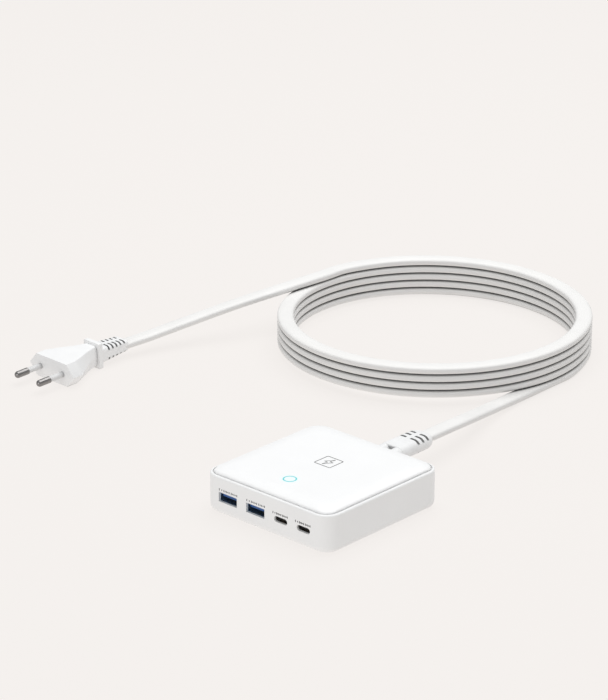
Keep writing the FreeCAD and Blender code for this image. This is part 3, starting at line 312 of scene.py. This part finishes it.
MATERIALS = {
    "shell_white": plastic("shell_white", (0.86, 0.86, 0.858), rough=0.45, vary=0.01),
    # Painted light: the status light's cyan glow on the lid around it.
    "cover_white": paint_glow(
        plastic("cover_white", (0.875, 0.875, 0.875), rough=0.40, depth=0.00001, vary=0.008),
        LIGHT_CENTRE,
        inner=LIGHT_RADIUS,
        outer=GLOW_RADIUS,
        colour=(0.70, 0.95, 0.95),
        strength=0.35,
    ),
    "light_teal": plastic("light_teal", (0.14, 0.66, 0.70), rough=0.25),
    "led_yellow": plastic("led_yellow", (0.80, 0.75, 0.25), rough=0.3),
    "board_green": plastic("board_green", (0.02, 0.13, 0.05), rough=0.35, grain=900),
    "chip_black": plastic("chip_black", (0.02, 0.02, 0.022), rough=0.5),
    "capacitor_yellow": plastic("capacitor_yellow", (0.62, 0.36, 0.02), rough=0.3),
    "capacitor_sleeve": plastic("capacitor_sleeve", (0.012, 0.016, 0.035), rough=0.25),
    "fuse_brown": plastic("fuse_brown", (0.06, 0.025, 0.012), rough=0.45),
    "ferrite": plastic("ferrite", (0.035, 0.035, 0.038), rough=0.6, grain=1500, vary=0.15),
    "winding_tape": plastic("winding_tape", (0.70, 0.48, 0.03), rough=0.22),
    "copper_wire": metal("copper_wire", (0.55, 0.20, 0.07), rough=0.3),
    "aluminium_plate": metal("aluminium_plate", (0.72, 0.73, 0.74), rough=0.35, stretch=(1, 12, 1)),
    "moulding_black": plastic("moulding_black", (0.03, 0.03, 0.032), rough=0.5, vary=0.1),
    "nickel_pins": metal("nickel_pins", (0.62, 0.60, 0.56), rough=0.2, stretch=(1, 8, 1)),
    "zinc_screws": metal("zinc_screws", (0.55, 0.55, 0.52), rough=0.35),
    "rubber_grey": plastic(
        "rubber_grey", (0.42, 0.42, 0.42), rough=0.75, grain=1600, depth=0.00004, specular=0.3
    ),
    "label_grey": plastic("label_grey", (0.62, 0.62, 0.61), rough=0.38, grain=3500, depth=0.000004),
    "connector_white": shade_hollows(
        plastic("connector_white", (0.82, 0.82, 0.82), rough=0.5),
        reach=5.0,
        colour=(0.02, 0.02, 0.02),
        open_at=0.75,
    ),
    # Painted shade: the cord's sides are darker by how they face, and the grooves between its turns
    # darker.
    "cord_white": shade_hollows(
        paint_side_shade(
            plastic("cord_white", (0.815, 0.805, 0.79), rough=0.5, grain=1800),
            (0.65, 0.645, 0.64),
            CORD_TILT_SHADE,
        ),
        reach=2.5,
        colour=(0.09, 0.09, 0.09),
    ),
    # Painted shade: the plug's sloping facets are darker by how they face, with shade around the pins and
    # the flange.
    "plug_white": shade_hollows(
        paint_side_shade(plastic("plug_white", (0.87, 0.87, 0.87), rough=0.45), (0.74, 0.74, 0.74), PLUG_TILT_SHADE),
        reach=2.5,
        colour=(0.40, 0.40, 0.40),
        open_at=0.55,
    ),
    "sleeve_white": shade_hollows(
        plastic("sleeve_white", (0.66, 0.66, 0.66), rough=0.45),
        reach=3.0,
        colour=(0.10, 0.10, 0.10),
        open_at=0.95,
    ),
    "pin_metal": metal("pin_metal", (0.26, 0.25, 0.245), rough=0.27, stretch=(1, 0.1, 1), scale=2500),
    "usb_a_steel": metal("usb_a_steel", (0.42, 0.56, 0.68), rough=0.4, stretch=(1, 0.2, 1)),
    "usb_c_steel": metal("usb_c_steel", (0.60, 0.60, 0.60), rough=0.35, stretch=(1, 0.2, 1)),
    "tongue_blue": plastic("tongue_blue", (0.02, 0.09, 0.29), rough=0.4),
    "tongue_black": plastic("tongue_black", (0.012, 0.012, 0.013), rough=0.5),
    "gold_contacts": metal("gold_contacts", (0.75, 0.50, 0.15), rough=0.2),
    "print_grey": plastic("print_grey", (0.19, 0.19, 0.19), rough=0.5, vary=0.05),
    "print_dark": plastic("print_dark", (0.07, 0.07, 0.072), rough=0.5, vary=0.05),
    # Painted shade inside the slots of the connector's relief.
    "connector_relief": shade_slots(
        plastic("connector_relief", (0.80, 0.80, 0.80), rough=0.5),
        origin=(0.0, 0.0, INLET_HEIGHT),
        turn=(0.0, 0.0, 0.0),
        first=67.1,
        pitch=3.85,
        count=3,
        width=1.6,
        gap=3.0,
        floor=2.0,
        under=False,
    ),
    # Painted shade inside the slots of the plug's relief.
    "plug_relief": shade_slots(
        plastic("plug_relief", (0.84, 0.84, 0.84), rough=0.5),
        origin=PLUG_ORIGIN,
        turn=PLUG_TURN,
        first=38.7,
        pitch=3.1,
        count=5,
        width=1.3,
        gap=2.6,
        floor=2.2,
        drop=0.45,
    ),
}
# Nodes that have a material of their own in place of their slot's.
OWN_MATERIAL = {
    "connector_strain_relief": "connector_relief",
    "plug_strain_relief": "plug_relief",
    "usb_a_shell_1": "usb_a_steel",
    "usb_a_shell_2": "usb_a_steel",
    "usb_c_shell_1": "usb_c_steel",
    "usb_c_shell_2": "usb_c_steel",
}


# --- pieces and shapes ---


def add_piece(name, bm, slot, body, smooth_angle=38, look=None):
    """A new piece that rides a body, in its slot's material or, without a slot, in a look of its own."""
    mesh = bpy.data.meshes.new(name)
    bm.to_mesh(mesh)
    bm.free()
    piece = bpy.data.objects.new(name, mesh)
    bpy.context.scene.collection.objects.link(piece)
    mesh.materials.append(MATERIALS[look or slot])
    mesh.shade_smooth()
    mesh.set_sharp_from_angle(angle=math.radians(smooth_angle))
    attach(piece, body)
    return piece


def rounded_outline(corners, radius, steps=5):
    """A closed outline whose corners are turned into arcs."""
    points = []
    for k, corner in enumerate(corners):
        here = Vector(corner)
        back = (Vector(corners[k - 1]) - here).normalized()
        ahead = (Vector(corners[(k + 1) % len(corners)]) - here).normalized()
        half = back.angle(ahead) / 2
        centre = here + (back + ahead).normalized() * (radius / math.sin(half))
        cut = radius / math.tan(half)
        start, end = here + back * cut, here + ahead * cut
        for j in range(steps + 1):
            arm = (start - centre).slerp(end - centre, j / steps).normalized()
            points.append(centre + arm * radius)
    return points


def skin(bm, rings):
    """Joins rings of equally many vertices by faces and caps both ends."""
    count = len(rings[0])
    for before, after in zip(rings, rings[1:]):
        for j in range(count):
            bm.faces.new((before[j], before[(j + 1) % count], after[(j + 1) % count], after[j]))
    bm.faces.new(reversed(rings[0]))
    bm.faces.new(rings[-1])


def add_strip(bm, a, b, width, to_space):
    """A flat strip from a to b; to_space turns the plane's own two coordinates into a place."""
    a, b = Vector(a), Vector(b)
    across = (b - a).normalized().orthogonal() * (width / 2)
    bm.faces.new([bm.verts.new(to_space(p)) for p in (a - across, b - across, b + across, a + across)])


def add_band(bm, outline, width, to_space):
    """A closed outline drawn with an even line width."""
    count = len(outline)
    outer, inner = [], []
    for k, point in enumerate(outline):
        along = (outline[(k + 1) % count] - outline[k - 1]).normalized()
        side = along.orthogonal() * (width / 2)
        outer.append(bm.verts.new(to_space(point + side)))
        inner.append(bm.verts.new(to_space(point - side)))
    for k in range(count):
        j = (k + 1) % count
        bm.faces.new((outer[k], outer[j], inner[j], inner[k]))


# --- flat cord ---

# The route of the cord where it isn't coiled, as control points in millimetres.
HUB_LEAD = [
    (0.0, 76.5, 14.3),
    (-0.2, 91.0, 14.25),
    (-1.85, 110.18, 13.05),
    (-7.0, 129.34, 9.54),
    (-13.49, 148.94, 5.3),
    (-17.46, 169.04, 2.79),
    (-18.42, 189.66, 2.37),
    (-19.05, 211.07, 2.36),
]
PLUG_LEAD = [
    (-192.51, 211.07, 22.6),
    (-192.86, 192.75, 23.2),
    (-193.86, 174.71, 23.3),
    (-197.97, 157.17, 22.0),
    (-204.77, 140.12, 18.9),
    (-212.37, 123.07, 14.9),
    (-218.76, 105.52, 11.59),
    (-224.0, 87.97, 8.7),
    (-228.6, 71.5, 7.2),
]
# The section is a flat oval; a squareness of 2 would make it an ellipse, and more fills its corners.
CORD_WIDTH = 9.7
CORD_THICKNESS = 4.67
SECTION_POINTS = 40
SQUARENESS = 2.7
# The coil. Each turn climbs one layer, between the two angles given last, in degrees.
COIL_CENTRE = (-105.78, 211.07)
COIL_RADIUS = 86.73
COIL_LIFT = 0.01
TURNS = 4.5
POINTS_PER_TURN = 16
SPLINE_STEPS = 8
CLIMB_FROM = 60
CLIMB_TO = 340


def layer_height(angle):
    """Height of the cord's centre after this many degrees of winding."""
    turn, rest = divmod(angle, 360)
    part = min(max((rest - CLIMB_FROM) / (CLIMB_TO - CLIMB_FROM), 0), 1)
    layer = turn + part * part * (3 - 2 * part)
    return COIL_LIFT + CORD_THICKNESS * (layer + 0.5)


def coil_points():
    """Corners of the polygon that the coil's turns run inside, touching it."""
    step = 360 / POINTS_PER_TURN
    corner_radius = COIL_RADIUS / math.cos(math.radians(step / 2))
    points = []
    for k in range(int(TURNS * POINTS_PER_TURN)):
        angle = step * (k + 0.5)
        x = COIL_CENTRE[0] + corner_radius * math.cos(math.radians(angle))
        y = COIL_CENTRE[1] + corner_radius * math.sin(math.radians(angle))
        points.append((x, y, layer_height(angle)))
    return points


def cord_line():
    """The cord's centreline, read from one smooth spline along the whole route."""
    route = HUB_LEAD + coil_points() + PLUG_LEAD
    curve = bpy.data.curves.new("cord_route", "CURVE")
    curve.dimensions = "3D"
    curve.resolution_u = SPLINE_STEPS
    spline = curve.splines.new("NURBS")
    spline.points.add(len(route) - 1)
    for point, place in zip(spline.points, route):
        point.co = (*(c * MM for c in place), 1)
    spline.order_u = 3
    spline.use_endpoint_u = True
    holder = bpy.data.objects.new("cord_route", curve)
    bpy.context.scene.collection.objects.link(holder)
    bpy.context.view_layer.update()
    mesh = bpy.data.meshes.new_from_object(holder)
    line = [v.co.copy() for v in mesh.vertices]
    bpy.data.objects.remove(holder)
    return line


def flat_section():
    """Outline of the flat cord across its length: (sideways, upward) in metres."""
    points = []
    for k in range(SECTION_POINTS):
        angle = 2 * math.pi * (k + 0.5) / SECTION_POINTS
        x, y = math.cos(angle), math.sin(angle)
        x = CORD_WIDTH / 2 * math.copysign(abs(x) ** (2 / SQUARENESS), x)
        y = CORD_THICKNESS / 2 * math.copysign(abs(y) ** (2 / SQUARENESS), y)
        points.append((x * MM, y * MM))
    return points


def make_cord():
    """One continuous flat cord, its width lying level, in place of the CAD's coil and two leads."""
    line = cord_line()
    section = flat_section()
    bm = bmesh.new()
    rings = []
    for k, point in enumerate(line):
        ahead = (line[min(k + 1, len(line) - 1)] - line[max(k - 1, 0)]).normalized()
        side = ahead.cross(Vector((0, 0, 1))).normalized()
        up = side.cross(ahead)
        rings.append([bm.verts.new(point + side * x + up * y) for x, y in section])
    skin(bm, rings)
    bmesh.ops.recalc_face_normals(bm, faces=bm.faces)
    cord = add_piece("flat_cord", bm, "cord_white", "power_cord")
    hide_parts("cord_lead_hub", "cord_coil", "cord_lead_plug")


# --- plug ---

FLANGE_START = 30.6
FLANGE_THICKNESS = 3.0
FLANGE_WIDTH = 13.0
FLANGE_HEIGHT = 15.5
FLANGE_CORNER = 0.9
# A hexagon across the plug is given by the width of its flat, its full width and its height.
PLUG_FACE = (25.6, 37.8, 13.75)
PLUG_STRAIGHT = 7.2
# The body behind the straight part, as (back, *hexagon). It starts a little narrower, which leaves a
# fine crease.
PLUG_PROFILE = [
    (PLUG_STRAIGHT + 0.05, 25.5, 36.9, 13.75),
    (14.0, 20.4, 27.6, 13.3),
    (21.5, 13.4, 16.8, 12.7),
    (FLANGE_START, 8.4, 9.4, 12.2),
]
# Soft edges, as (back, inset). The hexagon's flat is inset by a share of what its full width is.
PLUG_FRONT_EDGE = [(0.0, 0.35), (0.1, 0.12), (0.35, 0.0)]
PLUG_FLAT_INSET = 0.6
FLANGE_EDGE = [(0.0, 0.25), (0.1, 0.1), (0.3, 0.0)]
# The radius of the edges along the body, and how much it grows per millimetre toward the cord.
PLUG_EDGE_RADIUS = 0.5
PLUG_EDGE_GROWTH = 0.04


def eased(stations, rounds=2, share=0.25):
    """Cuts the corners of a list of stations; its first and last stay."""
    for _ in range(rounds):
        cut = [stations[0]]
        for a, b in zip(stations, stations[1:]):
            for part in (share, 1 - share):
                cut.append(tuple((1 - part) * u + part * v for u, v in zip(a, b)))
        stations = cut + [stations[-1]]
    return stations


def make_plug_moulding():
    """The plug's body with soft edges, and the finger flange behind it."""
    place = Matrix.Translation([c * MM for c in PLUG_ORIGIN]) @ Euler(PLUG_TURN).to_matrix().to_4x4()
    bm = bmesh.new()

    def ring(back, outline):
        return [bm.verts.new(place @ Vector((p.x * MM, back * MM, p.y * MM))) for p in outline]

    def hexagon(flat, full, height, radius, inset=0.0):
        a, w, b = flat / 2 - inset * PLUG_FLAT_INSET, full / 2 - inset, height / 2 - inset
        return rounded_outline([(a, -b), (w, 0), (a, b), (-a, b), (-w, 0), (-a, -b)], radius)

    def rectangle(width, height, radius, inset):
        a, b = width / 2 - inset, height / 2 - inset
        return rounded_outline([(a, -b), (a, b), (-a, b), (-a, -b)], radius - inset)

    stations = PLUG_FRONT_EDGE + [(PLUG_STRAIGHT, 0.0)]
    rings = [ring(back, hexagon(*PLUG_FACE, PLUG_EDGE_RADIUS, inset)) for back, inset in stations]
    for back, *sizes in eased(PLUG_PROFILE):
        radius = PLUG_EDGE_RADIUS + PLUG_EDGE_GROWTH * (back - PLUG_STRAIGHT)
        rings.append(ring(back, hexagon(*sizes, radius)))
    skin(bm, rings)

    far_edge = [(FLANGE_THICKNESS - back, inset) for back, inset in reversed(FLANGE_EDGE)]
    rings = []
    for back, inset in FLANGE_EDGE + far_edge:
        outline = rectangle(FLANGE_WIDTH, FLANGE_HEIGHT, FLANGE_CORNER, inset)
        rings.append(ring(FLANGE_START + back, outline))
    skin(bm, rings)
    bmesh.ops.recalc_face_normals(bm, faces=bm.faces)
    moulding = add_piece("plug_moulding", bm, "plug_white", "power_cord", smooth_angle=24)
    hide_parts("plug_body")


# --- printed marks ---

HUB_TOP = 24.4
HUB_DEPTH = 87.0
PRINT_LIFT = 0.03
# The lid's mark: an outlined square, given by its middle and half its sides, with a bolt in it.
LID_MARK_CENTRE = (0.1, 4.6)
LID_MARK_HALF = (5.4, 5.35)
LID_MARK_CORNER = 0.8
LID_MARK_LINE = 0.6
BOLT = [(1.1, 4.0), (-2.5, -0.5), (-0.3, -0.5), (-1.1, -4.0), (2.5, 0.6), (0.3, 0.6)]
BOLT_LINE = 0.5
# Where each row of ticks starts, how wide it is, and the height of its middle.
PORT_MARKS = [(-31.8, 12.4, 15.1), (-12.3, 12.4, 15.1), (6.0, 9.9, 14.1), (21.6, 9.9, 14.1)]
# A row's groups of ticks: where each starts and ends, as shares of the row's width, and its count.
TICK_GROUPS = [(0.0, 0.14, 2), (0.26, 0.56, 5), (0.68, 1.0, 5)]
# How far the ticks of a group reach up and down from the row's middle.
TICK_REACH = (0.62, 0.42, 0.52, 0.36, 0.58)
TICK_LINE = 0.5


def make_lid_mark():
    """A generic sign on the lid: an outlined square with a bolt."""

    def on_lid(point):
        return Vector((point.x * MM, point.y * MM, (HUB_TOP + PRINT_LIFT) * MM))

    bm = bmesh.new()
    cx, cy = LID_MARK_CENTRE
    half_x, half_y = LID_MARK_HALF
    corners = [(cx + sx * half_x, cy + sy * half_y) for sx, sy in ((1, -1), (1, 1), (-1, 1), (-1, -1))]
    add_band(bm, rounded_outline(corners, LID_MARK_CORNER), LID_MARK_LINE, on_lid)
    bolt = [Vector((cx + x, cy + y)) for x, y in BOLT]
    for a, b in zip(bolt, bolt[1:] + bolt[:1]):
        add_strip(bm, a, b, BOLT_LINE, on_lid)
    add_piece("lid_mark", bm, None, "hub", look="print_grey")


def make_port_marks():
    """Rows of plain ticks over the ports."""

    def on_front(point):
        return Vector((point.x * MM, -(HUB_DEPTH / 2 + PRINT_LIFT) * MM, point.y * MM))

    bm = bmesh.new()
    for start, width, level in PORT_MARKS:
        for first, last, ticks in TICK_GROUPS:
            for k in range(ticks):
                x = start + width * (first + (last - first) * k / (ticks - 1))
                low, high = level - TICK_REACH[k], level + TICK_REACH[k]
                add_strip(bm, (x, low), (x, high), TICK_LINE, on_front)
    add_piece("port_marks", bm, None, "hub", look="print_dark")


# --- CAD nodes ---


def dress_cad_nodes():
    """Every CAD node takes the material of its slot in the record."""
    slots = {entry["node"]: entry["material_slot"] for entry in frame["record"]["subparts"]}
    for name, node in frame["nodes"].items():
        for holder in node.material_slots:
            holder.material = MATERIALS[OWN_MATERIAL.get(name, slots[name])]


# --- studio ---

SKY_COLOUR = (0.975, 0.99, 1.0, 1)
SKY_STRENGTH = 0.52
FLOOR_SIZE = 12
FLOOR_DROP = 0.00002
FLOOR_COLOUR = (0.10, 0.096, 0.093, 1)
FLOOR_GLOW = (0.896, 0.863, 0.839, 1)
FLOOR_GLOW_STRENGTH = 0.895
# Square lamps: name, place, what it aims at, side, and power in watts.
LAMPS = [
    ("top_softbox", (-0.10, 0.45, 1.45), (-0.08, 0.08, 0.0), 1.6, 19.4),
    ("front_fill", (0.1, -1.8, 0.35), (-0.05, 0.05, 0.0), 1.0, 7.5),
]


def make_sky():
    """An even, slightly cool light from all around; colours are shown without a film curve."""
    scene = bpy.context.scene
    scene.view_settings.view_transform = "Standard"
    world = bpy.data.worlds.new("studio")
    scene.world = world
    world.use_nodes = True
    background = world.node_tree.nodes["Background"]
    background.inputs["Color"].default_value = SKY_COLOUR
    background.inputs["Strength"].default_value = SKY_STRENGTH


def make_floor():
    """A pale floor that glows by itself, so that only faint shadows fall on it."""
    bpy.ops.mesh.primitive_plane_add(size=FLOOR_SIZE, location=(0, 0, -FLOOR_DROP))
    floor = bpy.context.object
    floor.name = "floor"
    mat = bpy.data.materials.new("floor_paper")
    mat.use_nodes = True
    shader = mat.node_tree.nodes["Principled BSDF"]
    shader.inputs["Base Color"].default_value = FLOOR_COLOUR
    shader.inputs["Roughness"].default_value = 1.0
    shader.inputs["Specular IOR Level"].default_value = 0.0
    shader.inputs["Emission Color"].default_value = FLOOR_GLOW
    shader.inputs["Emission Strength"].default_value = FLOOR_GLOW_STRENGTH
    floor.data.materials.append(mat)


def make_lamps():
    """A large softbox overhead and a weak fill in front of the ports."""
    for name, place, aim, size, power in LAMPS:
        data = bpy.data.lights.new(name, "AREA")
        data.shape = "SQUARE"
        data.size = size
        data.energy = power
        lamp = bpy.data.objects.new(name, data)
        lamp.location = place
        lamp.rotation_mode = "QUATERNION"
        lamp.rotation_quaternion = (Vector(aim) - Vector(place)).to_track_quat("-Z", "Y")
        bpy.context.scene.collection.objects.link(lamp)


make_camera()
make_plug_moulding()
make_cord()
make_lid_mark()
make_port_marks()
dress_cad_nodes()
make_sky()
make_floor()
make_lamps()
